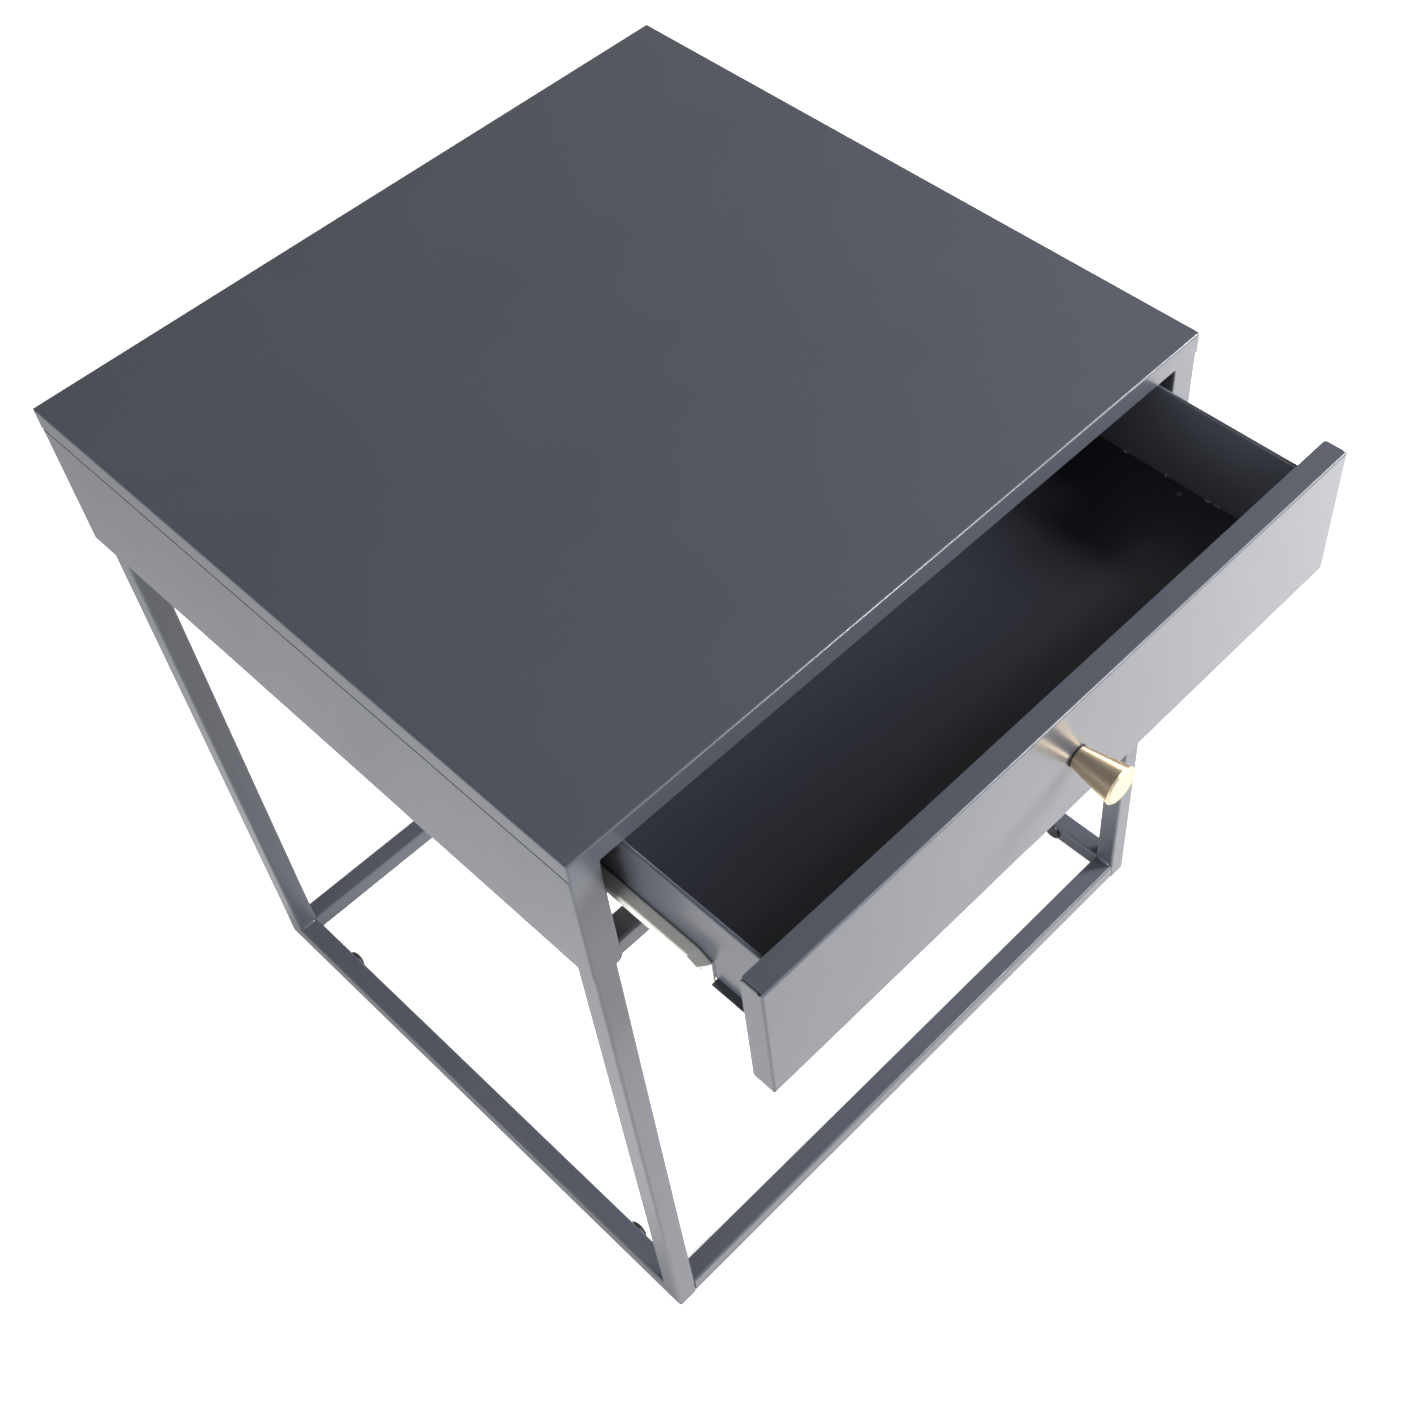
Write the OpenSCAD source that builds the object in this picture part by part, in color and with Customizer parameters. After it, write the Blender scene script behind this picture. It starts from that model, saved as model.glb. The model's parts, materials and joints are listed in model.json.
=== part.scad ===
// Side table with one drawer: welded square-tube frame, sheet-metal lid and
// case, and a drawer on roller slides. Drawn with the drawer part open.
// +X is right seen from the front, +Y is the back, +Z is up, z = 0 is the floor.

/* [Table] */
// Width of the lid
top_w = 500; // [470:2:560]
// Depth of the lid
top_d = 476; // [470:2:520]
// Height of the lid's top face above the floor
top_h = 583; // [420:1:700]
// Height of the lid's turned-down edge
lid_edge = 15; // [13:0.5:16]
// Shadow gap between the lid's edge and the case
shadow_gap = 1.3; // [0.8:0.1:2]
// Height from the case's bottom edge to the lid's top face
case_h = 113; // [112:1:118]
// Thickness of the lid and case sheet
sheet = 1.2; // [0.9:0.1:1.2]
// Width of the case's front stiles
stile_w = 20.5; // [20:0.5:22]

/* [Tube frame] */
// Outer side of the square tube
tube = 16; // [15:0.5:16]
// Wall of the tube
tube_wall = 1.5; // [1:0.1:2]
// Outer corner radius of the tube
tube_r = 1.8; // [1.6:0.1:2.5]
// Height of the rail under the drawer opening
cross_h = 14; // [12:0.5:14]
// Distance from the lid's back edge to the frame's back face
rear_inset = 18.5; // [17:0.5:24]
// Height of the floor glides
glide_h = 3; // [2:0.5:6]
// Distance from the frame's front face to the front rail plugs
plug_front = 60; // [40:1:90]
// Distance from the frame's back face to the rear rail plugs
plug_rear = 66; // [40:1:90]

/* [Drawer] */
// Distance from the lid's side edge to the drawer front
front_margin = 17; // [15:0.5:19]
// Height of the drawer front
front_h = 99; // [97:0.5:99]
// Thickness of the drawer front
front_t = 15; // [12:0.5:20]
// Drop from the lid's top face to the drawer front's top edge
front_drop = 8; // [6:0.5:9]
// Gap between the closed drawer front and the lid's edge
front_gap = 2; // [1:0.5:4]
// Distance from the lid's side edge to the drawer box
box_margin = 35; // [35:0.5:36]
// Depth of the drawer box
box_d = 445; // [420:1:450]
// Drop from the lid's top face to the drawer box's rim
rim_drop = 18; // [18:0.5:22]
// Distance the drawer stands open as drawn
open_rest = 99; // [0:1:200]

/* [Slides] */
// Length of each slide member
slide_len = 400; // [350:10:405]
// Distance from the closed drawer front's back to the drawer slide's front end
slide_setback = 43; // [30:1:43]
// Diameter of the slide rollers
roller_d = 18; // [17:0.1:18]
// Radius of the roller axles
axle_r = 2.5; // [2:0.1:2.8]

/* [Knob] */
// Length of the knob with its ring
knob_len = 30; // [20:1:40]
// Diameter of the knob at the drawer front
knob_base_d = 14; // [10:0.5:20]
// Diameter of the knob's outer end
knob_end_d = 24; // [16:0.5:32]

/* [Hidden] */
$fn = 64;
// The stored object's box is centred on the origin, so the table sits behind it
front_w = top_w - 2*front_margin;
box_w = top_w - 2*box_margin;
front_face_y = -top_d/2 - front_gap - front_t; // drawer front's face, closed
row_y = -(front_face_y - knob_len - open_rest + top_d/2)/2;

bend_r = 1.4;          // outer radius of the sheet bends
panel_gap = 0.3;       // clearance between sheet and tube
panel_in = 1;          // case front behind the lid's front edge
leg_x = top_w/2 - sheet - panel_gap;                   // frame's outer side
leg_y0 = -top_d/2 + panel_in + sheet + panel_gap;      // frame's front face
leg_y1 = top_d/2 - rear_inset;                         // frame's back face
leg_z0 = glide_h;
leg_z1 = top_h - sheet - panel_gap;
cross_len = 2*(leg_x - tube);                          // rails between side frames
case_z0 = top_h - case_h;
panel_z1 = top_h - lid_edge - shadow_gap;
panel_y0 = -top_d/2 + panel_in;
panel_y1 = top_d/2 - sheet;
stile_return = 15.5;   // depth of the stile's return flange
stile_corner = 4;      // rounding of the stile's lower inner corner
rear_fold = 15;        // width of the case's rear folds
rivet_z = [25, 75];     // back rivets, above the case's lower edge
rivet_hole = 1.65;

stud_x = 224;          // lid studs and nuts, measured from the middle
stud_r = 2;
stud_hole = 2.5;
nut_af = 7;
nut_h = 3.2;
stud_end = 1.5;        // stud thread below the nut
stiff_w = 44;          // lid stiffener width and height
stiff_h = 12;

slide_mid = top_h - 72.5;      // height of the roller axles
gauge = 1.2;                   // slide sheet
side_x = box_w/2;              // drawer side's outer face
mount_u = 13.5;                // bracket face, measured out from the drawer side
channel = roller_d + 0.8;      // height between the cabinet slide's flanges
drawer_top = slide_mid + roller_d/2 + 0.3;   // underside of drawer slide's flange
floor_z = top_h - 84.8;        // underside of the drawer floor
lip_x = 8.2;                   // drawer slide's width
lip_h = 5.5;
foot_w = 14;           // drawer slide's flange under the drawer floor
foot_screw = 9;        // its screws, measured in from the drawer side
channel_x = 8.6;               // start of the cabinet slide's flanges
front_roller_x = [2.8, 6.6];   // roller faces, measured out from the drawer side
rear_roller_x = [8.7, 11.9];
bore_fit = 0.05;
cab_y0 = leg_y0 + tube + 3.5;  // front end of the cabinet slides
cab_axle_y = cab_y0 + 33;
back_y = -top_d/2 - front_gap - open_rest;   // drawer front's back face
face_y = back_y - front_t;
drw_y0 = back_y + slide_setback;             // front end of the drawer slides
drw_y1 = drw_y0 + slide_len;
drw_axle_y = drw_y1 - 12;
tab_len = 8;           // drawer slide's front end without a foot
tab_hole = 1;
droop_len = 10;        // drooping front end of the drawer slide's flange
droop = 25;
bracket_h = 36;

front_z1 = top_h - front_drop;
front_z0 = front_z1 - front_h;
knob_z = (front_z0 + front_z1)/2;
skin = 1;              // drawer box sheet
rim_z = top_h - rim_drop;
side_step = 5.3;       // bare inner skin below the outer skin
side_ledge = 3.7;      // hem turned out in front of the slide
rim_r = 1.3;           // rolled rim of the drawer box
rim_h = 3.6;
relief_r = 0.9;        // corner relief holes of the drawer front
relief_y = 2.4;
seam = 0.45;           // open seam between its top and end returns
seam_x = 0.7;
seam_depth = 0.9;
return_r = 3;          // rounding of the returns' rear corners
ring_h = 0.8;          // ring under the knob
screw_r = 2;
knob_bore = 10;
bumper_x = 190;

blue_grey = [0.36, 0.38, 0.42];
cream = [0.86, 0.86, 0.80];
brass = [0.80, 0.66, 0.42];
black = [0.08, 0.08, 0.08];
zinc = [0.72, 0.73, 0.75];
nylon = [0.93, 0.93, 0.90];

// ---------- helpers ----------

// Puts table-centred geometry into the stored frame
module place() translate([0, row_y, 0]) children();

// Both hands of a part: side = -1 is the left, 1 the right
module hand(side) mirror([side < 0 ? 0 : 1, 0, 0]) children();

// Rounded rectangle centred on the origin
module soft_rect(w, h, r) {
    square([w - 2*r, h], center = true);
    square([w, h - 2*r], center = true);
    for (sx = [-1, 1], sy = [-1, 1])
        translate([sx*(w/2 - r), sy*(h/2 - r)]) circle(r = r);
}

// What a rounded corner at the origin takes off the first quadrant
module nick(r) difference() {
    translate([-1, -1]) square(r + 1);
    translate([r, r]) circle(r = r);
}

// Square or oblong tube along +Z, centred on its axis
module tube_z(w, d, len) difference() {
    linear_extrude(len) soft_rect(w, d, tube_r);
    translate([0, 0, -1]) linear_extrude(len + 2)
        soft_rect(w - 2*tube_wall, d - 2*tube_wall, tube_r - tube_wall + 0.2);
}

// 45 degree mitre cutter at z = 0, taking off the side at +Y
module mitre_cut() translate([0, -tube/2, 0]) rotate([45, 0, 0])
    translate([-tube, -tube, -2*tube]) cube([2*tube, 4*tube, 2*tube]);

// Tube along +Z mitred at both ends, long side at -Y
module mitred_tube(len) difference() {
    tube_z(tube, tube, len);
    mitre_cut();
    translate([0, 0, len]) mirror([0, 0, 1]) mitre_cut();
}

// Box with rounded vertical and front edges, from its low corner
module soft_box(w, d, h, r) intersection() {
    translate([w/2, d/2, 0]) linear_extrude(h) soft_rect(w, d, r);
    translate([0, d/2, h/2]) rotate([90, 0, 90]) linear_extrude(w) soft_rect(d, h, r);
    translate([w/2, d, h/2]) rotate([90, 0, 0]) linear_extrude(d) soft_rect(w, h, r);
}

// Cylinder along +X from x0 to x1
module rod_x(x0, x1, r) translate([x0, 0, 0]) rotate([0, 90, 0])
    cylinder(h = x1 - x0, r = r);

// Slide geometry: x is measured out from the drawer side's outer face
module slide_side(side) hand(side) translate([-side_x, 0, 0])
    mirror([1, 0, 0]) children();

// ---------- lid and case ----------

module lid() color(blue_grey) place() {
    difference() {
        translate([-top_w/2, -top_d/2, top_h - lid_edge - 4])
            soft_box(top_w, top_d, lid_edge + 4, bend_r);
        translate([-top_w/2 + sheet, -top_d/2 + sheet, top_h - lid_edge - 5])
            cube([top_w - 2*sheet, top_d - 2*sheet, lid_edge + 5 - sheet]);
        translate([-top_w, -top_d, top_h - lid_edge - 10])
            cube([2*top_w, 2*top_d, 10]);
    }
}

// Studs welded under the lid, through the front and rear top rails
module lid_studs() color(zinc) place() {
    z0 = leg_z1 - tube - nut_h - stud_end;
    for (sx = [-1, 1], y = [leg_y0 + tube/2, leg_y1 - tube/2])
        translate([sx*stud_x, y, z0]) cylinder(h = top_h - sheet - z0, r = stud_r);
}

// Plan of the side panel: outer skin, front stile and rear fold
module panel_plan() {
    depth = panel_y1 - panel_y0;
    difference() {
        union() {
            square([sheet, depth]);
            square([stile_w, sheet]);
            translate([0, depth - sheet]) square([rear_fold, sheet]);
        }
        nick(bend_r);
        translate([0, depth]) mirror([0, 1]) nick(bend_r);
    }
}

// The stile's return flange stops short of the rails above and below the opening
module side_panel(side) color(blue_grey) place() hand(side) {
    return_z0 = cross_h + panel_gap;
    return_h = leg_z1 - tube - panel_gap - case_z0 - return_z0;
    translate([-top_w/2, panel_y0, case_z0]) difference() {
        union() {
            linear_extrude(panel_z1 - case_z0) panel_plan();
            translate([stile_w - sheet, 0, return_z0])
                cube([sheet, stile_return, return_h]);
        }
        translate([stile_w, 0, return_z0]) linear_extrude(return_h)
            mirror([1, 0]) nick(bend_r);
        translate([stile_w, sheet + 1, 0]) rotate([90, 0, 0])
            linear_extrude(sheet + 2) mirror([1, 0]) nick(stile_corner);
        for (z = rivet_z) translate([rear_fold/2, panel_y1 - panel_y0 + 1, z])
            rotate([90, 0, 0]) cylinder(h = 4, r = rivet_hole);
    }
}
module side_panel_left() side_panel(-1);
module side_panel_right() side_panel(1);

module back_panel() color(blue_grey) place() {
    w = top_w - 2*sheet - 0.6;
    difference() {
        translate([-w/2, panel_y1 - 2*sheet, case_z0])
            cube([w, sheet, panel_z1 - case_z0]);
        for (sx = [-1, 1], z = rivet_z)
            translate([sx*(top_w/2 - rear_fold/2), panel_y1, case_z0 + z])
                rotate([90, 0, 0]) cylinder(h = 4, r = rivet_hole);
    }
}

module back_rivets() color(zinc) place()
    for (sx = [-1, 1], z = rivet_z)
        translate([sx*(top_w/2 - rear_fold/2), panel_y1, case_z0 + z]) rotate([90, 0, 0]) {
            cylinder(h = 2*sheet + 1.5, r = 1.6);
            translate([0, 0, -0.9]) cylinder(h = 0.9, r1 = 2.4, r2 = 3.2);
            translate([0, 0, 2*sheet]) cylinder(h = 1.5, r = 2.4);
        }

module lid_stiffener() color(blue_grey) place() {
    len = cross_len - 1;
    z1 = top_h - sheet;
    translate([-len/2, 0, 0]) {
        for (s = [-1, 1]) translate([0, s*(stiff_w/2 - 5) - 5, z1 - sheet])
            cube([len, 10, sheet]);
        for (s = [-1, 1])
            translate([0, s*(stiff_w/2 - 10 + sheet/2) - sheet/2, z1 - stiff_h])
                cube([len, sheet, stiff_h]);
        translate([0, -stiff_w/2 + 10 - sheet, z1 - stiff_h])
            cube([len, stiff_w - 20 + 2*sheet, sheet]);
    }
}

module lid_nuts() color(zinc) place()
    for (sx = [-1, 1], y = [leg_y0 + tube/2, leg_y1 - tube/2])
        translate([sx*stud_x, y, leg_z1 - tube - nut_h]) difference() {
            cylinder(h = nut_h, r = nut_af/sqrt(3), $fn = 6);
            translate([0, 0, -1]) cylinder(h = nut_h + 2, r = stud_r + 0.05);
        }

// ---------- tube frame ----------

module leg(side, rear) color(blue_grey) place() hand(side)
    translate([-leg_x + tube/2, rear ? leg_y1 - tube/2 : leg_y0 + tube/2, leg_z0])
        rotate([0, 0, rear ? 180 : 0]) mitred_tube(leg_z1 - leg_z0);
module leg_front_left() leg(-1, false);
module leg_front_right() leg(1, false);
module leg_rear_left() leg(-1, true);
module leg_rear_right() leg(1, true);

// Rail along +Y between the legs, mitred, long side down
module side_rail(side) hand(side) translate([-leg_x + tube/2, leg_y0, tube/2])
    rotate([-90, 0, 0]) rotate([0, 0, 180]) mitred_tube(leg_y1 - leg_y0);

module base_rail(side) color(blue_grey) place() difference() {
    translate([0, 0, leg_z0]) side_rail(side);
    for (y = [leg_y0 + plug_front, leg_y1 - plug_rear]) hand(side)
        translate([-leg_x + tube/2, y, leg_z0 + tube/2]) rod_x(0, tube, 5.1);
}
module base_rail_left() base_rail(-1);
module base_rail_right() base_rail(1);

module top_rail(side) color(blue_grey) place()
    translate([0, 0, leg_z1]) mirror([0, 0, 1]) side_rail(side);
module top_rail_left() top_rail(-1);
module top_rail_right() top_rail(1);

// Rail along X between the side frames, from its front lower edge
module cross_tube(y, z, h = tube) translate([-cross_len/2, y + tube/2, z + h/2])
    rotate([90, 0, 90]) tube_z(tube, h, cross_len);

module base_rail_front() color(blue_grey) place() cross_tube(leg_y0, leg_z0);
module base_rail_rear() color(blue_grey) place() cross_tube(leg_y1 - tube, leg_z0);

module stud_rail(y) difference() {
    cross_tube(y, leg_z1 - tube);
    for (sx = [-1, 1]) translate([sx*stud_x, y + tube/2, leg_z1 - tube - 1])
        cylinder(h = tube + 2, r = stud_hole);
}
module top_rail_front() color(blue_grey) place() stud_rail(leg_y0);
module top_rail_rear() color(blue_grey) place() stud_rail(leg_y1 - tube);

module drawer_cross_rail() color(blue_grey) place() cross_tube(leg_y0, case_z0, cross_h);

// Domed plugs in the inner faces of the base side rails
module rail_plugs() color(black) place()
    for (s = [-1, 1], y = [leg_y0 + plug_front, leg_y1 - plug_rear]) hand(s)
        translate([-leg_x + tube, y, leg_z0 + tube/2]) rotate([0, 90, 0]) rotate_extrude()
            difference() {
                union() {
                    square([7.4, 1.4]);
                    translate([0, -5]) square([5, 5.5]);
                    intersection() {
                        translate([0, -8.8]) circle(r = 12.6);
                        translate([0, 1]) square([6.6, 5]);
                    }
                }
                translate([-30, -6]) square([30, 20]);
                translate([0, -6]) square([3.6, 5.5]);
            }

// Small press-in glides under the ends of the base side rails
module floor_glides() color(black) place()
    for (sx = [-1, 1], y = [leg_y0 + tube, leg_y1 - tube])
        translate([sx*(leg_x - tube/2), y, 0]) {
            cylinder(h = 1, r1 = 4.4, r2 = 5);
            translate([0, 0, 1]) cylinder(h = glide_h - 1, r = 5);
        }

// ---------- slides, cabinet side ----------

module slide_bracket(side) color(blue_grey) place() slide_side(side) {
    z0 = slide_mid - bracket_h/2;
    y0 = leg_y0 + tube;
    y1 = leg_y1 - tube;
    difference() {
        translate([mount_u, y0, z0]) cube([sheet, y1 - y0, bracket_h]);
        for (y = cabinet_screw_y()) translate([0, y, slide_mid]) rod_x(mount_u - 1, mount_u + 3, 1.7);
    }
    for (y = [y0, y1 - sheet])
        translate([mount_u, y, z0]) cube([leg_x - side_x - mount_u, sheet, bracket_h]);
}
module slide_bracket_left() slide_bracket(-1);
module slide_bracket_right() slide_bracket(1);

function cabinet_screw_y() = [cab_y0 + 60, cab_y0 + slide_len/2, cab_y0 + slide_len - 40];

module cabinet_slide(side) color(cream) place() slide_side(side) difference() {
    translate([0, cab_y0, 0]) {
        translate([mount_u - gauge, 0, slide_mid - channel/2 - gauge])
            cube([gauge, slide_len, channel + 2*gauge]);
        for (z = [slide_mid - channel/2 - gauge, slide_mid + channel/2])
            translate([channel_x, 0, z]) cube([mount_u - channel_x, slide_len, gauge]);
    }
    for (y = cabinet_screw_y()) translate([0, y, slide_mid]) {
        rod_x(mount_u - 2, mount_u + 1, 1.7);
        translate([mount_u - gauge - 0.01, 0, 0]) rotate([0, 90, 0])
            cylinder(h = gauge, r1 = 3.3, r2 = 1.9);
    }
    translate([0, cab_axle_y, slide_mid]) rod_x(mount_u - 2, mount_u + 1, axle_r);
}
module cabinet_slide_left() cabinet_slide(-1);
module cabinet_slide_right() cabinet_slide(1);

module cabinet_slide_screws() color(zinc) place() for (s = [-1, 1]) slide_side(s)
    for (y = cabinet_screw_y()) translate([0, y, slide_mid]) difference() {
        union() {
            translate([mount_u - gauge, 0, 0]) rotate([0, 90, 0])
                cylinder(h = gauge, r1 = 3.2, r2 = 1.8);
            rod_x(mount_u - gauge, mount_u + 6, 1.6);
        }
        rod_x(12, 12.9, 1);
    }

// Rivet on which the cabinet slide's front roller turns
module front_axle(side) color(zinc) place() slide_side(side)
    translate([0, cab_axle_y, slide_mid]) {
        rod_x(front_roller_x[0] - 0.2, mount_u, axle_r);
        rod_x(front_roller_x[1] + 0.2, mount_u - gauge, axle_r + 1);
        rod_x(1.6, front_roller_x[0] - 0.2, axle_r + 1.5);
    }
module front_axle_left() front_axle(-1);
module front_axle_right() front_axle(1);

// Grooved nylon roller between x0 and x1
module roller(xs) rotate([0, 90, 0]) translate([0, 0, xs[0]]) difference() {
    cylinder(h = xs[1] - xs[0], r = roller_d/2);
    translate([0, 0, -1]) cylinder(h = 20, r = axle_r + bore_fit);
    for (z = [-1, xs[1] - xs[0] - 0.6]) translate([0, 0, z]) difference() {
        cylinder(h = 1.6, r = roller_d/2 - 1.6);
        translate([0, 0, -1]) cylinder(h = 4, r = axle_r + 1.6);
    }
}
module front_roller(side) color(nylon) place() slide_side(side)
    translate([0, cab_axle_y, slide_mid]) roller(front_roller_x);
module front_roller_left() front_roller(-1);
module front_roller_right() front_roller(1);

// ---------- slides, drawer side ----------

function drawer_screw_y() = [drw_y0 + 30, drw_y0 + slide_len/2, drw_y1 - 40];

module knee(y0, y1, z0, z1, tilt, wide) translate([0, drw_y0 + droop_len, drawer_top + gauge])
    rotate([tilt, 0, 0]) translate([0, y0, z0]) cube([wide, y1 - y0, z1 - z0]);

module drawer_slide(side) color(cream) place() slide_side(side) {
    z1 = drawer_top + gauge;
    web_z0 = floor_z - gauge;
    difference() {
        translate([0, drw_y0, 0]) rotate([90, 0, 0]) mirror([0, 0, 1])
            linear_extrude(slide_len) difference() {
                union() {
                    translate([0, web_z0]) square([gauge, z1 - web_z0]);
                    translate([0, z1 - gauge]) square([lip_x, gauge]);
                    translate([lip_x - gauge, z1 - lip_h]) square([gauge, lip_h]);
                    translate([-foot_w, web_z0]) square([foot_w + gauge, gauge]);
                }
                translate([0, z1]) mirror([0, 1]) nick(bend_r);
                translate([lip_x, z1]) rotate(180) nick(bend_r);
            }
        translate([gauge, 0, 0]) knee(-2*droop_len, 0, -12, 12, droop/2, lip_x);
        translate([-1, 0, 0]) intersection() {
            knee(-2*droop_len, 0, -12, 12, droop/2, 3);
            knee(-2*droop_len, 6, -gauge, 12, droop, 3);
        }
        translate([-foot_w - 1, drw_y0 - 1, web_z0 - 1])
            cube([foot_w + 1, tab_len + 1, gauge + 1]);
        translate([0, drw_y0 + tab_len + 1.5, web_z0 + 3.4]) rod_x(-1, 3, tab_hole);
        translate([0, drw_axle_y, slide_mid]) rod_x(-1, 3, axle_r);
        for (y = drawer_screw_y())
            translate([-foot_screw, y, web_z0 - 1]) cylinder(h = 4, r = 1.7);
    }
    difference() {
        translate([0, drw_y0 + droop_len, z1]) rotate([90 + droop, 0, 0])
            translate([0, 0, -2*gauge]) linear_extrude(droop_len/cos(droop) + 2*gauge)
                difference() {
                    union() {
                        translate([0, -gauge]) square([lip_x, gauge]);
                        translate([0, -2*gauge]) square([gauge, 2*gauge]);
                    }
                    mirror([0, 1]) nick(bend_r);
                }
        translate([-1, 0, 0]) knee(0, 12, -12, 12, droop/2, lip_x + 2);
        translate([2*gauge, drw_y0, web_z0]) rotate([0, 0, 30])
            translate([0, -12, 0]) cube([12, 12, 40]);
    }
}
module drawer_slide_left() drawer_slide(-1);
module drawer_slide_right() drawer_slide(1);

module drawer_slide_screws() color(zinc) place() for (s = [-1, 1]) slide_side(s)
    for (y = drawer_screw_y()) translate([-foot_screw, y, floor_z - gauge]) difference() {
        union() {
            translate([0, 0, -1.5]) cylinder(h = 1.5, r1 = 2.6, r2 = 3.3);
            cylinder(h = gauge + skin, r = 1.6);
        }
        translate([0, 0, -2]) cylinder(h = 1.2, r = 1.1);
    }

module rear_axle(side) color(zinc) place() slide_side(side)
    translate([0, drw_axle_y, slide_mid]) {
        rod_x(0, rear_roller_x[1] + 0.1, axle_r);
        rod_x(gauge, rear_roller_x[0] - 0.2, axle_r + 1);
    }
module rear_axle_left() rear_axle(-1);
module rear_axle_right() rear_axle(1);

module rear_roller(side) color(nylon) place() slide_side(side)
    translate([0, drw_axle_y, slide_mid]) roller(rear_roller_x);
module rear_roller_left() rear_roller(-1);
module rear_roller_right() rear_roller(1);

// ---------- drawer ----------

// Double-skin side with a rolled rim; the outer skin stops above the floor
module drawer_side(side) color(blue_grey) place() hand(side) {
    translate([-side_x, back_y, 0]) rotate([90, 0, 0]) mirror([0, 0, 1])
        linear_extrude(box_d) {
            translate([skin, floor_z]) square([skin, rim_z - floor_z - rim_r]);
            translate([0, floor_z + side_step])
                square([skin, rim_z - floor_z - side_step - rim_r]);
            translate([2*skin - rim_r, rim_z - rim_r]) circle(r = rim_r);
            translate([2*skin - 2*rim_r, rim_z - rim_h]) square([2*rim_r, rim_h - rim_r]);
        }
    translate([-side_x - side_ledge, back_y, floor_z])
        cube([side_ledge + 1.5*skin, slide_setback - 0.5, skin]);
}
module drawer_side_left() drawer_side(-1);
module drawer_side_right() drawer_side(1);

module drawer_floor() color(blue_grey) place() difference() {
    translate([-side_x + 2*skin, back_y, floor_z])
        cube([box_w - 4*skin, box_d - skin, skin]);
    for (s = [-1, 1]) slide_side(s) for (y = drawer_screw_y())
        translate([-foot_screw, y, floor_z - 1]) cylinder(h = 4, r = 1.6);
}

module drawer_back() color(blue_grey) place()
    translate([-side_x + 2*skin, back_y + box_d - skin, floor_z]) {
        cube([box_w - 4*skin, skin, rim_z - floor_z - 0.9]);
        translate([0, -1.2, rim_z - floor_z - rim_h])
            cube([box_w - 4*skin, skin + 1.2, rim_h - 0.9]);
    }

// Folded pan: open seams and relief holes at the corners, returns rounded behind
module drawer_front() color(blue_grey) place() difference() {
    translate([-front_w/2, face_y, front_z0])
        soft_box(front_w, front_t + 4, front_h, bend_r);
    translate([-front_w, back_y, front_z0 - 1]) cube([2*front_w, 10, front_h + 2]);
    translate([-front_w/2 + sheet, face_y + sheet, front_z0 + sheet])
        cube([front_w - 2*sheet, front_t + 5, front_h - 2*sheet]);
    for (side = [-1, 1], up = [0, 1]) hand(side)
        translate([-front_w/2, face_y, front_z0 + up*front_h]) mirror([0, 0, up])
            front_corner();
    translate([0, face_y - 1, knob_z]) rotate([-90, 0, 0]) cylinder(h = 5, r = screw_r + 0.2);
}

// What a corner of the drawer front loses, drawn for its lower left corner
module front_corner() {
    translate([seam_x, relief_y, -1]) cylinder(h = 1 + sheet, r = relief_r);
    translate([seam_x - seam/2, relief_y, -1]) cube([seam, front_t, 1 + seam_depth]);
    translate([0, front_t, -1]) linear_extrude(1 + sheet) mirror([0, 1]) nick(return_r);
    translate([-1, front_t, 0]) rotate([90, 0, 90]) linear_extrude(1 + sheet)
        mirror([1, 0]) nick(return_r);
}

module drawer_front_cover() color(blue_grey) place() difference() {
    translate([-front_w/2 + sheet + 0.2, back_y - skin, front_z0 + sheet + 0.2])
        cube([front_w - 2*sheet - 0.4, skin, front_h - 2*sheet - 0.4]);
    translate([0, back_y - 5, knob_z]) rotate([-90, 0, 0]) cylinder(h = 10, r = screw_r + 0.2);
}

// Rubber buttons that meet the rail under the opening
module drawer_bumpers() color(black) place()
    for (sx = [-1, 1]) translate([sx*bumper_x, back_y, front_z0 + 4.5])
        rotate([-90, 0, 0]) cylinder(h = front_gap + panel_in + sheet, r1 = 3, r2 = 2.5);

// ---------- knob ----------

module knob() color(brass) place() translate([0, face_y - ring_h, knob_z])
    rotate([90, 0, 0]) rotate_extrude() difference() {
        l = knob_len - ring_h;
        polygon([[0, 0], [knob_base_d/2 - 0.5, 0], [knob_base_d/2, 0.5],
            [knob_end_d/2, l - 1], [knob_end_d/2 - 1, l], [0, l]]);
        translate([-1, -1]) square([screw_r + 1.05, knob_bore + 1]);
    }

module knob_ring() color(black) place() translate([0, face_y, knob_z])
    rotate([90, 0, 0]) difference() {
        cylinder(h = ring_h, r = knob_base_d/2 + 0.3);
        translate([0, 0, -1]) cylinder(h = ring_h + 2, r = screw_r + 0.1);
    }

module knob_screw() color(zinc) place() translate([0, back_y, knob_z])
    rotate([90, 0, 0]) difference() {
        union() {
            cylinder(h = front_t + ring_h + knob_bore - 2, r = screw_r);
            translate([0, 0, -2]) cylinder(h = 2, r1 = 3.4, r2 = 4);
        }
        translate([-3, -0.5, -3]) cube([6, 1, 1.8]);
        translate([-0.5, -3, -3]) cube([1, 6, 1.8]);
    }

// ---------- nodes ----------

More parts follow.
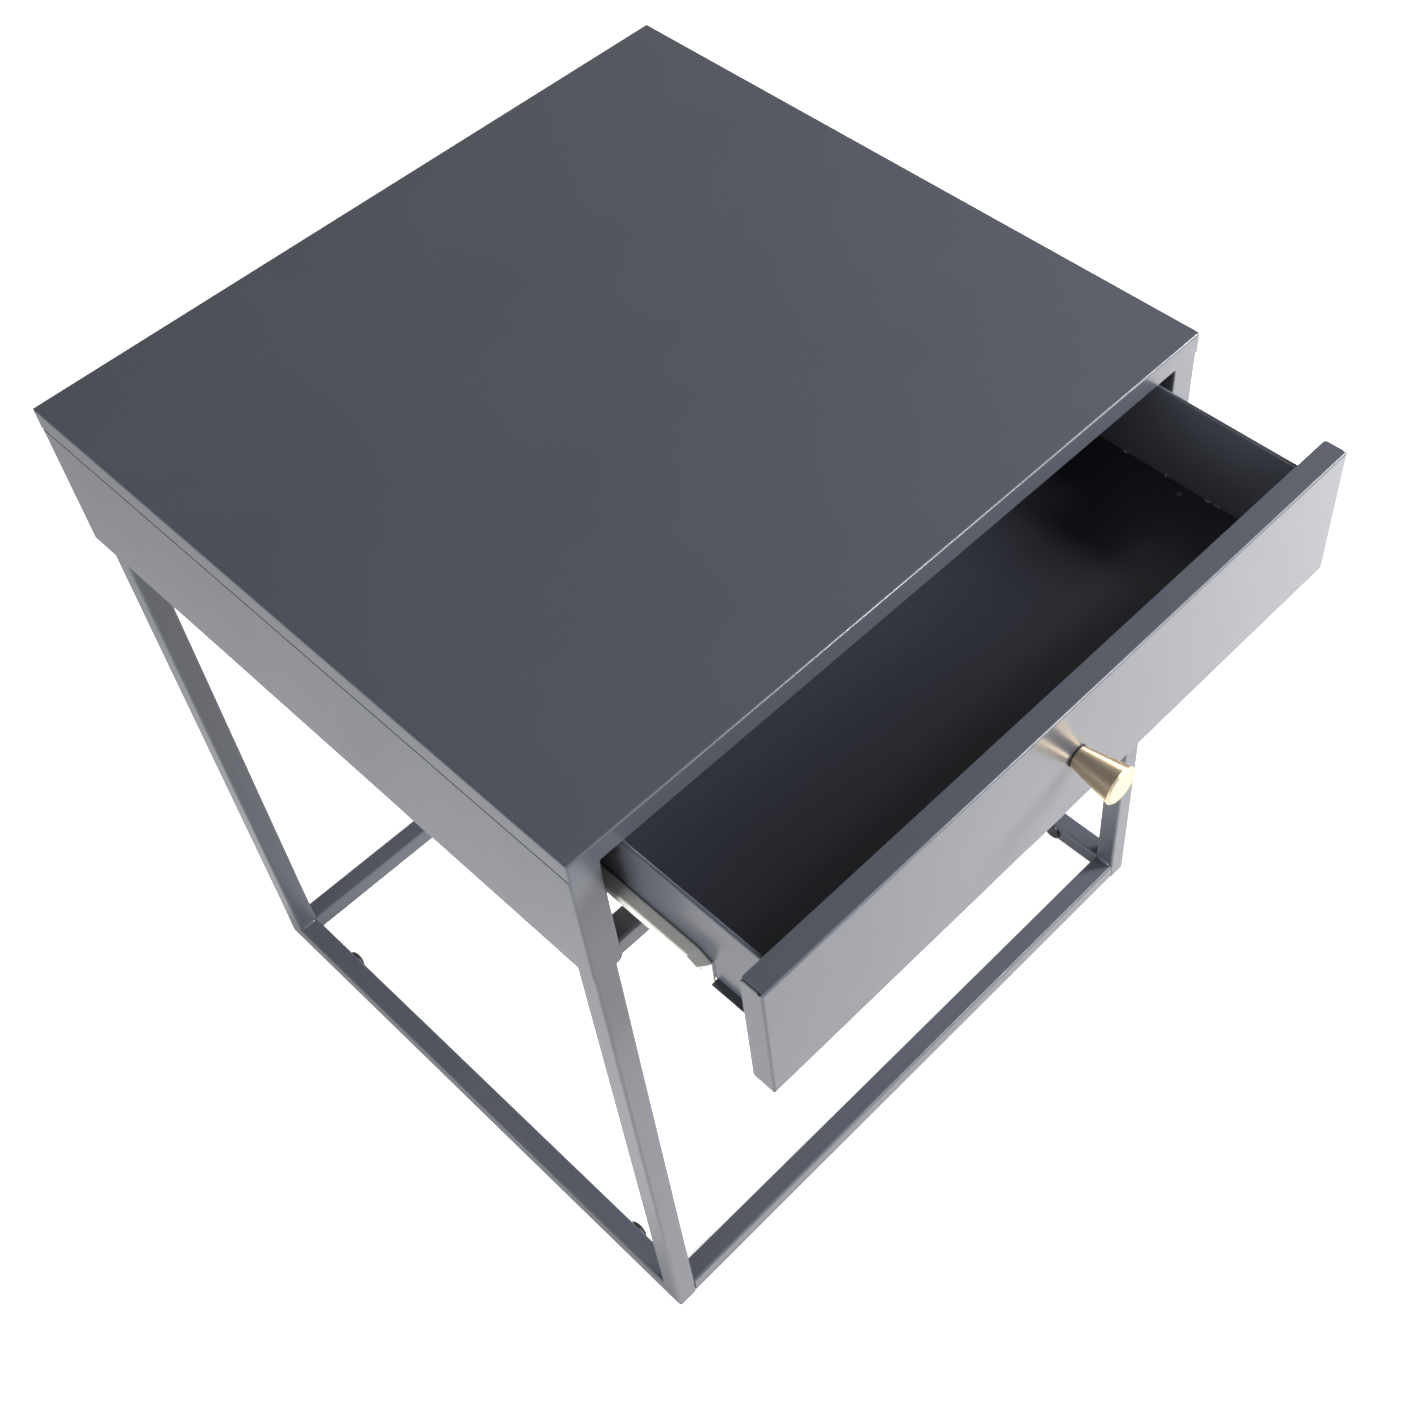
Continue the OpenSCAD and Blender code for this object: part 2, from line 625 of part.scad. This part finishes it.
lid();
side_panel_left();
side_panel_right();
back_panel();
leg_front_left();
leg_front_right();
leg_rear_left();
leg_rear_right();
base_rail_left();
base_rail_right();
base_rail_front();
base_rail_rear();
top_rail_left();
top_rail_right();
top_rail_front();
top_rail_rear();
drawer_cross_rail();
lid_stiffener();
lid_studs();
lid_nuts();
back_rivets();
slide_bracket_left();
slide_bracket_right();
cabinet_slide_left();
cabinet_slide_right();
front_axle_left();
front_axle_right();
front_roller_left();
front_roller_right();
cabinet_slide_screws();
drawer_slide_left();
drawer_slide_right();
rear_axle_left();
rear_axle_right();
rear_roller_left();
rear_roller_right();
drawer_slide_screws();
drawer_side_left();
drawer_side_right();
drawer_floor();
drawer_back();
drawer_front();
drawer_front_cover();
drawer_bumpers();
knob();
knob_ring();
knob_screw();
rail_plugs();
floor_glides();
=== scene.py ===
"""Looks for the side table: paint, cream slides, brass knob, welds, floor, light, camera.
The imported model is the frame; every length is in metres in its coordinates."""

import json
import math
import random

import bmesh
import bpy
from mathutils import Matrix, Vector


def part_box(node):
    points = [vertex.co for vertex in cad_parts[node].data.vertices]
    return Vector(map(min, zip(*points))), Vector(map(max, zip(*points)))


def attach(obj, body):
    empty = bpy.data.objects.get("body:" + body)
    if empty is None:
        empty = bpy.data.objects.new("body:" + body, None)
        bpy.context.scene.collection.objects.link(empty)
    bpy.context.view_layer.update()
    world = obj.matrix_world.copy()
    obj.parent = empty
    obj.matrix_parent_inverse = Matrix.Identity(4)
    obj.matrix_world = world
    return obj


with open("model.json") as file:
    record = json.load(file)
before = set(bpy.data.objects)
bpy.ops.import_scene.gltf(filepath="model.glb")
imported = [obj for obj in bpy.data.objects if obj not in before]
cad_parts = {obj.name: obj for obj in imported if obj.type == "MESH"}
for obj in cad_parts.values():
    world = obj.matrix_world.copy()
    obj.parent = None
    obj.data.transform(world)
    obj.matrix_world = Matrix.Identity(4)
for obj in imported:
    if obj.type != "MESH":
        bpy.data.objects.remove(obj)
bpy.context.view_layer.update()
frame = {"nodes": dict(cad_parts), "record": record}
nodes = frame["nodes"]

MM = 0.001
SEED = 7
KNOB_RIM_RADIUS = 10.3 * MM      # fine line turned into the knob's end face, drawn as a painted dark line for its shade
KNOB_RIM_HALF_WIDTH = 0.18 * MM
END_FACE_DEPTH = 0.3 * MM
FLOOR_SHADE_TONE = 0.55          # painted shade: tone of the drawer's floor coat, 1 is the outside's
BEAD = 1.7 * MM                  # leg length of a weld fillet
BEAD_STEP = 0.7 * MM             # length of one ring of a weld bead
BEAD_SINK = 0.2 * MM             # how far a bead's edges go under the faces
BEAD_ARC = 6                     # points across a bead's face
# millimetres behind the drawer front, size in millimetres, stretch along x, y and z
WELD_TICKS = ((119, 1.1, (0.8, 1.6, 0.8)), (88, 1.0, (0.7, 0.9, 2.2)),
              (57, 1.2, (1.0, 2.0, 0.7)), (50, 1.0, (0.8, 2.6, 0.6)))
rng = random.Random(SEED)


# ---------- small helpers ----------

class Graph:
    """A material's node tree, built by short calls."""

    def __init__(self, name):
        self.mat = bpy.data.materials.new(name)
        self.mat.use_nodes = True
        self.tree = self.mat.node_tree
        self.tree.nodes.clear()
        self.out = self.add("ShaderNodeOutputMaterial")
        self.bsdf = self.add("ShaderNodeBsdfPrincipled")
        self.link(self.bsdf.outputs["BSDF"], self.out.inputs["Surface"])
        self.coord = self.add("ShaderNodeTexCoord").outputs["Object"]

    def add(self, kind, **props):
        node = self.tree.nodes.new(kind)
        for key, value in props.items():
            setattr(node, key, value)
        return node

    def link(self, a, b):
        self.tree.links.new(a, b)

    def feed(self, socket, value):
        if isinstance(value, bpy.types.NodeSocket):
            self.link(value, socket)
        else:
            socket.default_value = value

    def set(self, **values):
        """Constants on the shader's own sockets; underscores stand for spaces."""
        for key, value in values.items():
            self.bsdf.inputs[key.replace("_", " ")].default_value = value

    def scaled(self, scale, rotation=(0, 0, 0)):
        m = self.add("ShaderNodeMapping")
        self.link(self.coord, m.inputs["Vector"])
        m.inputs["Scale"].default_value = scale
        m.inputs["Rotation"].default_value = rotation
        return m.outputs["Vector"]

    def noise(self, scale, detail=2.0, rough=0.5, vector=None, distort=0.0):
        n = self.add("ShaderNodeTexNoise")
        self.link(vector or self.coord, n.inputs["Vector"])
        n.inputs["Scale"].default_value = scale
        n.inputs["Detail"].default_value = detail
        n.inputs["Roughness"].default_value = rough
        n.inputs["Distortion"].default_value = distort
        return n.outputs["Fac"]

    def remap(self, value, a, b, lo=0.0, hi=1.0):
        m = self.add("ShaderNodeMapRange")
        m.clamp = True
        self.feed(m.inputs["Value"], value)
        for key, v in (("From Min", a), ("From Max", b), ("To Min", lo), ("To Max", hi)):
            m.inputs[key].default_value = v
        return m.outputs["Result"]

    def math(self, op, a, b=0.0, c=None):
        m = self.add("ShaderNodeMath", operation=op)
        self.feed(m.inputs[0], a)
        self.feed(m.inputs[1], b)
        if c is not None:
            self.feed(m.inputs[2], c)
        return m.outputs[0]

    def mix(self, fac, a, b):
        m = self.add("ShaderNodeMix", data_type="RGBA")
        self.feed(m.inputs[0], fac)
        self.feed(m.inputs[6], a)
        self.feed(m.inputs[7], b)
        return m.outputs[2]

    def specks(self, scale, size, share):
        """Small round dots, one in some Voronoi cells: 1 in a dot, 0 outside."""
        v = self.add("ShaderNodeTexVoronoi")
        self.link(self.coord, v.inputs["Vector"])
        v.inputs["Scale"].default_value = scale
        dot = self.remap(v.outputs["Distance"], size * 0.6, size, 1.0, 0.0)
        pick = self.add("ShaderNodeSeparateColor")
        self.link(v.outputs["Color"], pick.inputs["Color"])
        chosen = self.math("GREATER_THAN", pick.outputs[0], 1.0 - share)
        return self.math("MULTIPLY", dot, chosen)

    def bump(self, *layers):
        """Stacked bumps, each (height, strength, distance)."""
        normal = None
        for height, strength, distance in layers:
            b = self.add("ShaderNodeBump")
            b.inputs["Strength"].default_value = strength
            b.inputs["Distance"].default_value = distance
            self.link(height, b.inputs["Height"])
            if normal is not None:
                self.link(normal, b.inputs["Normal"])
            normal = b.outputs["Normal"]
        self.link(normal, self.bsdf.inputs["Normal"])


def rgb(r, g, b):
    return (r, g, b, 1.0)


# ---------- materials ----------

def powder_coat(name="powder_coat", shade_tone=1.0):
    """Satin blue-grey coat: soft orange peel, faint cloudiness, a few dust nibs.
    A tone below 1 darkens it towards black, as painted shade."""
    g = Graph(name)
    cloud = g.noise(7, 3)
    nibs = g.specks(210, 0.075, 0.16)
    base = g.mix(cloud, rgb(0.0635, 0.0678, 0.0860), rgb(0.0720, 0.0762, 0.0955))
    base = g.mix(g.math("MULTIPLY", nibs, 0.30), base, rgb(0.16, 0.15, 0.13))
    # painted shade: mixes the coat towards near-black when the tone is below 1
    base = g.mix(1.0 - shade_tone, base, rgb(0.006, 0.006, 0.014))
    g.link(base, g.bsdf.inputs["Base Color"])
    g.link(g.remap(g.noise(14, 2), 0.2, 0.8, 0.28, 0.33), g.bsdf.inputs["Roughness"])
    g.set(IOR=1.5, Coat_Weight=0.3, Coat_Roughness=0.17, Coat_IOR=1.5)
    g.bump((g.noise(330, 1), 0.05, 0.00004), (nibs, 0.15, 0.00003))
    return g.mat


def slide_coating():
    """Cream epoxy, rubbed grey in lines where the rollers run."""
    g = Graph("slide_coating")
    runs = g.noise(1, 3, vector=g.scaled((900, 9, 900)))
    cloud = g.noise(30, 3)
    base = g.mix(g.remap(cloud, 0.3, 0.7), rgb(0.78, 0.78, 0.71), rgb(0.85, 0.85, 0.78))
    base = g.mix(g.remap(runs, 0.60, 0.78, 0.0, 0.45), base, rgb(0.42, 0.42, 0.39))
    g.link(base, g.bsdf.inputs["Base Color"])
    g.link(g.remap(g.noise(140, 2), 0.3, 0.7, 0.28, 0.38), g.bsdf.inputs["Roughness"])
    g.set(Coat_Weight=0.25, Coat_Roughness=0.2)
    g.bump((g.noise(300, 2), 0.10, 0.00006), (runs, 0.06, 0.00005))
    return g.mat


def knob_brass(axis_z, end_y):
    """Satin brass, polished lengthwise; the end face's colour is toned down as painted shade
    against the bright floor it mirrors, with a painted dark rim line.
    """
    g = Graph("knob_brass")
    sep = g.add("ShaderNodeSeparateXYZ")
    g.link(g.coord, sep.inputs[0])
    dz = g.math("SUBTRACT", sep.outputs[2], axis_z)
    radius = g.math("SQRT", g.math("ADD", g.math("MULTIPLY", sep.outputs[0], sep.outputs[0]),
                                   g.math("MULTIPLY", dz, dz)))
    angle = g.math("ARCTAN2", dz, sep.outputs[0])
    around = g.add("ShaderNodeCombineXYZ")
    g.link(g.math("MULTIPLY", angle, 0.012), around.inputs[0])
    g.link(g.math("MULTIPLY", sep.outputs[1], 0.05), around.inputs[1])
    streak = g.noise(420, 2, vector=around.outputs[0])
    ring = g.add("ShaderNodeCombineXYZ")
    g.link(radius, ring.inputs[0])
    turned = g.noise(2600, 1, vector=ring.outputs[0])
    base = g.mix(g.remap(streak, 0.3, 0.7), rgb(0.88, 0.68, 0.43), rgb(0.96, 0.78, 0.53))
    # painted shade: the end face and its rim line take a darker colour than the cone
    on_end = g.math("LESS_THAN", sep.outputs[1], end_y + END_FACE_DEPTH)
    rim_line_shade = g.math("COMPARE", radius, KNOB_RIM_RADIUS, KNOB_RIM_HALF_WIDTH)
    end_face_shade = g.mix(rim_line_shade, rgb(0.62, 0.51, 0.38), rgb(0.45, 0.35, 0.24))
    base = g.mix(on_end, base, end_face_shade)
    g.link(base, g.bsdf.inputs["Base Color"])
    g.link(g.remap(streak, 0.3, 0.7, 0.28, 0.35), g.bsdf.inputs["Roughness"])
    g.set(Metallic=1.0)
    g.bump((streak, 0.10, 0.00004), (turned, 0.04, 0.00002))
    return g.mat


def moulded(name, dark, light, rough, glow=0.0):
    """Moulded plastic or rubber with a fine spark-eroded grain; glow is the share of
    light that passes under the surface."""
    g = Graph(name)
    grain = g.noise(1400, 2)
    base = g.mix(g.remap(g.noise(120, 2), 0.3, 0.7), dark, light)
    g.link(base, g.bsdf.inputs["Base Color"])
    g.link(g.remap(grain, 0.3, 0.7, rough - 0.06, rough + 0.08),
           g.bsdf.inputs["Roughness"])
    g.bump((grain, 0.25, 0.00004))
    if glow:
        g.set(Subsurface_Weight=glow, Subsurface_Radius=(2.0 * MM, 2.0 * MM, 1.5 * MM))
    return g.mat


def plated(name, tone):
    """Zinc plate: bright, faintly clouded, with fine scratches."""
    g = Graph(name)
    cloud = g.noise(220, 3)
    scratch = g.noise(1, 2, vector=g.scaled((2600, 220, 2600), (0.4, 0.3, 0.9)))
    base = g.mix(g.remap(cloud, 0.3, 0.7), rgb(tone, tone * 1.01, tone * 1.03),
                 rgb(tone * 0.82, tone * 0.83, tone * 0.84))
    g.link(base, g.bsdf.inputs["Base Color"])
    g.link(g.remap(scratch, 0.3, 0.7, 0.28, 0.42), g.bsdf.inputs["Roughness"])
    g.set(Metallic=1.0)
    g.bump((scratch, 0.12, 0.00003), (cloud, 0.08, 0.00005))
    return g.mat


knob_lo, knob_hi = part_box("knob")
knob_axis_z = (knob_lo.z + knob_hi.z) / 2

finishes = {
    "powder_coat": powder_coat(),
    "slide_coating": slide_coating(),
    "knob_brass": knob_brass(knob_axis_z, knob_lo.y),
    "black_plastic": moulded("black_plastic", rgb(0.012, 0.012, 0.013),
                             rgb(0.022, 0.022, 0.024), 0.42),
    "bumper_rubber": moulded("bumper_rubber", rgb(0.020, 0.020, 0.020),
                             rgb(0.035, 0.034, 0.033), 0.75),
    "zinc_hardware": plated("zinc_hardware", 0.62),
    "roller_nylon": moulded("roller_nylon", rgb(0.74, 0.74, 0.69),
                            rgb(0.82, 0.82, 0.78), 0.35, 0.15),
}

for part in frame["record"]["subparts"]:
    mesh = nodes[part["node"]].data
    mesh.materials.clear()
    mesh.materials.append(finishes[part["material_slot"]])

# the drawer's floor gets a darker copy of the coat: painted shade standing for the shadow the
# drawer front and walls cast on it
floor_mesh = nodes["drawer_floor"].data
floor_mesh.materials.clear()
floor_mesh.materials.append(powder_coat("powder_coat_floor_shaded", FLOOR_SHADE_TONE))


# ---------- weld beads and weld ticks ----------

def new_piece(name, bm, slot, body, material=None):
    mesh = bpy.data.meshes.new(name)
    bm.normal_update()
    bm.to_mesh(mesh)
    bm.free()
    mesh.polygons.foreach_set("use_smooth", [True] * len(mesh.polygons))
    mesh.materials.append(material or finishes[slot])
    piece = bpy.data.objects.new(name, mesh)
    bpy.context.scene.collection.objects.link(piece)
    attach(piece, body)
    return piece


def add_bead(bm, start, end, side_a, side_b, size):
    """Closed rippled fillet from start to end in the corner of faces side_a and side_b."""
    start, end = Vector(start), Vector(end)
    side_a, side_b = Vector(side_a), Vector(side_b)
    length = (end - start).length
    steps = max(6, int(length / BEAD_STEP))
    rings = []
    for i in range(steps + 1):
        t = i / steps
        ripple = 1 + 0.10 * math.sin(i * 2 * math.pi / 3) + rng.uniform(-0.05, 0.05)
        taper = min(1.0, 0.35 + 4 * min(t, 1 - t))
        s = size * ripple * taper
        at = start.lerp(end, t)
        root = at - (side_a + side_b) * BEAD_SINK
        ring = [root]
        for k in range(BEAD_ARC):
            a = k / (BEAD_ARC - 1) * math.pi / 2
            # a slightly hollow fillet from one face round to the other
            pa, pb = 1 - math.sin(a) * 0.96, 1 - math.cos(a) * 0.96
            ring.append(at + (side_a * pa + side_b * pb) * s)
        ring[1] = ring[1] - side_b * BEAD_SINK
        ring[-1] = ring[-1] - side_a * BEAD_SINK
        rings.append([bm.verts.new(p) for p in ring])
    for r0, r1 in zip(rings, rings[1:]):
        for k in range(len(r0)):
            n = (k + 1) % len(r0)
            bm.faces.new((r0[k], r0[n], r1[n], r1[k]))
    bm.faces.new(list(reversed(rings[0])))
    bm.faces.new(rings[-1])


leg_lo, leg_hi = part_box("leg_front_left")
back_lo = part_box("leg_rear_left")[0]
rail_lo, rail_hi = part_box("base_rail_front")
cross_lo, cross_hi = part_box("drawer_cross_rail")
inner_x = rail_hi.x
front_in = leg_hi.y
rear_in = back_lo.y
rail_top = rail_hi.z
up = (0, 0, 1)

bm = bmesh.new()
for sx in (-1, 1):
    x = sx * inner_x
    for y, sy in ((front_in, 1), (rear_in, -1)):
        # upright corners of the base loop, inside
        add_bead(bm, (x, y, rail_lo.z + MM), (x, y, rail_top - MM),
                 (-sx, 0, 0), (0, sy, 0), BEAD)
        # where each leg's inner face stands on the side rail
        leg_mid = sx * (inner_x + (leg_hi.x - leg_lo.x) / 2)
        add_bead(bm, (leg_mid - 6 * MM, y, rail_top), (leg_mid + 6 * MM, y, rail_top),
                 (0, sy, 0), up, BEAD)
        # cross rails against the legs
        add_bead(bm, (x, y - sy * 14 * MM, rail_top), (x, y - sy * 2 * MM, rail_top),
                 (-sx, 0, 0), up, BEAD)
    add_bead(bm, (x, cross_hi.y, cross_lo.z + MM), (x, cross_hi.y, cross_hi.z - MM),
             (-sx, 0, 0), (0, 1, 0), BEAD)
    add_bead(bm, (x, cross_lo.y + 2 * MM, cross_lo.z), (x, cross_hi.y - 2 * MM, cross_lo.z),
             (-sx, 0, 0), (0, 0, -1), BEAD)
bmesh.ops.recalc_face_normals(bm, faces=bm.faces)
new_piece("frame_weld_beads", bm, "powder_coat", "frame")


def add_blob(bm, centre, size, squash):
    """Small lumpy spatter sitting in the corner of the drawer's wall and floor."""
    made = bmesh.ops.create_icosphere(bm, subdivisions=2, radius=1.0)
    for v in made["verts"]:
        lump = 1 + rng.uniform(-0.16, 0.16)
        v.co = Vector(centre) + Vector((v.co.x * size * squash[0], v.co.y * size * squash[1],
                                        v.co.z * size * squash[2])) * lump


def bare_weld():
    """Pale smoky weld metal at the drawer's inside corners."""
    g = Graph("bare_weld")
    soot = g.noise(700, 3)
    base = g.mix(g.remap(soot, 0.35, 0.65), rgb(0.30, 0.31, 0.34), rgb(0.085, 0.09, 0.11))
    g.link(base, g.bsdf.inputs["Base Color"])
    g.link(g.remap(soot, 0.3, 0.7, 0.35, 0.6), g.bsdf.inputs["Roughness"])
    g.bump((soot, 0.4, 0.00010))
    return g.mat


floor_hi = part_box("drawer_floor")[1]
front_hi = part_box("drawer_front")[1]
wall_x = floor_hi.x
bm = bmesh.new()
for sx in (-1, 1):
    for behind, size, squash in WELD_TICKS:
        add_blob(bm, (sx * (wall_x - 0.2 * MM), front_hi.y + behind * MM,
                      floor_hi.z + 0.4 * MM), size * MM, squash)
new_piece("drawer_weld_ticks", bm, "powder_coat", "drawer", bare_weld())


# ---------- floor, light and camera ----------

FLOOR_SIZE = 14.0
FLOOR_GAP = 0.5 * MM             # keeps the floor just under the glides
FLOOR_GLOW = 0.08                # light the paper gives off to the object
FLOOR_GLOW_SEEN = 0.80           # and to the camera, which keeps it white


def flat(name, size, centre, material):
    mesh = bpy.data.meshes.new(name)
    h = size / 2
    mesh.from_pydata([(-h, -h, 0), (h, -h, 0), (h, h, 0), (-h, h, 0)], [], [(0, 1, 2, 3)])
    mesh.materials.append(material)
    o = bpy.data.objects.new(name, mesh)
    o.location = centre
    bpy.context.scene.collection.objects.link(o)
    return o


def floor_paper():
    """White sweep, lit a little from behind so that shadows on it stay faint."""
    g = Graph("floor_paper")
    base = g.mix(g.noise(3, 2), rgb(0.79, 0.79, 0.79), rgb(0.81, 0.81, 0.81))
    g.link(base, g.bsdf.inputs["Base Color"])
    g.set(Roughness=0.9, Emission_Color=rgb(1.0, 1.0, 1.0))
    seen = g.add("ShaderNodeLightPath").outputs["Is Camera Ray"]
    g.link(g.remap(seen, 0.0, 1.0, FLOOR_GLOW, FLOOR_GLOW_SEEN),
           g.bsdf.inputs["Emission Strength"])
    g.bump((g.noise(800, 2), 0.05, 0.0001))
    return g.mat


flat("floor", FLOOR_SIZE, (0, 0, -FLOOR_GAP), floor_paper())


def area(name, size, at, aim, power, colour=(1, 1, 1)):
    light = bpy.data.lights.new(name, "AREA")
    light.shape = "RECTANGLE"
    light.size, light.size_y = size
    light.energy = power
    light.color = colour
    o = bpy.data.objects.new(name, light)
    o.location = at
    o.rotation_euler = (Vector(aim) - Vector(at)).to_track_quat("-Z", "Y").to_euler()
    bpy.context.scene.collection.objects.link(o)
    return o


# Key: a tall softbox to the right and in front, low enough to throw the drawer front's
# shadow half way across the drawer floor.  Edge: a small box in front whose reflection
# runs along the front bends.  Side: a low soft light from the left.
lit = Vector((0.10, -0.16, 0.50))
key_dir = Vector((1.85, -1.10, 1.0)).normalized()
edge_dir = Vector((0.41, -0.79, 0.46)).normalized()
KEY_AWAY, EDGE_AWAY = 2.0, 2.2               # metres from the drawer
KEY_POWER, EDGE_POWER, SIDE_POWER = 83, 28, 54
area("key", (0.45, 0.80), lit + key_dir * KEY_AWAY, lit, KEY_POWER, (1.0, 0.995, 0.985))
area("edge", (0.36, 0.36), lit + edge_dir * EDGE_AWAY, lit, EDGE_POWER, (0.97, 0.98, 1.0))
area("side", (1.6, 0.8), (-2.5, -0.30, 0.85), (0.1, -0.15, 0.5), SIDE_POWER,
     (0.98, 0.99, 1.0))

# World: brighter at the horizon than overhead, so the lid stays dark
world = bpy.data.worlds.new("studio")
world.use_nodes = True
wt = world.node_tree
wt.nodes.clear()
w_out = wt.nodes.new("ShaderNodeOutputWorld")
w_bg = wt.nodes.new("ShaderNodeBackground")
w_dir = wt.nodes.new("ShaderNodeTexCoord")
w_sep = wt.nodes.new("ShaderNodeSeparateXYZ")
w_map = wt.nodes.new("ShaderNodeMapRange")
w_bg.inputs["Color"].default_value = rgb(0.98, 0.99, 1.0)
for key, value in (("From Min", 0.05), ("From Max", 0.62), ("To Min", 0.85), ("To Max", 0.17)):
    w_map.inputs[key].default_value = value
wt.links.new(w_dir.outputs["Generated"], w_sep.inputs[0])
wt.links.new(w_sep.outputs[2], w_map.inputs["Value"])
# the background itself stays plain white to the camera
w_path = wt.nodes.new("ShaderNodeLightPath")
w_seen = wt.nodes.new("ShaderNodeMath")
w_seen.operation = "MAXIMUM"
wt.links.new(w_map.outputs["Result"], w_seen.inputs[0])
wt.links.new(w_path.outputs["Is Camera Ray"], w_seen.inputs[1])
wt.links.new(w_seen.outputs[0], w_bg.inputs["Strength"])
wt.links.new(w_bg.outputs[0], w_out.inputs["Surface"])
bpy.context.scene.world = world
bpy.context.scene.view_settings.view_transform = "Standard"

# Viewing angle: looking down on the front left corner, slightly rolled
AZIMUTH, ELEVATION, ROLL = -42.096, 51.531, -4.760
SENSOR = 36.0
LENS = 51.9208
SHIFT = (-0.067393, -0.033494)
EYE = Vector((-0.52034, -0.64337, 1.40729))
a, e, r = map(math.radians, (AZIMUTH, ELEVATION, ROLL))
back = Vector((math.sin(a) * math.cos(e), -math.cos(a) * math.cos(e), math.sin(e)))
right = Vector((0, 0, 1)).cross(back).normalized()
top = back.cross(right)
cam = bpy.data.cameras.new("camera")
cam.sensor_width = SENSOR
cam.lens = LENS
cam.shift_x, cam.shift_y = SHIFT
cam_o = bpy.data.objects.new("camera", cam)
axes = (right * math.cos(r) + top * math.sin(r), -right * math.sin(r) + top * math.cos(r), back)
cam_o.matrix_world = Matrix.Translation(EYE) @ Matrix(axes).transposed().to_4x4()
bpy.context.scene.collection.objects.link(cam_o)
bpy.context.scene.camera = cam_o
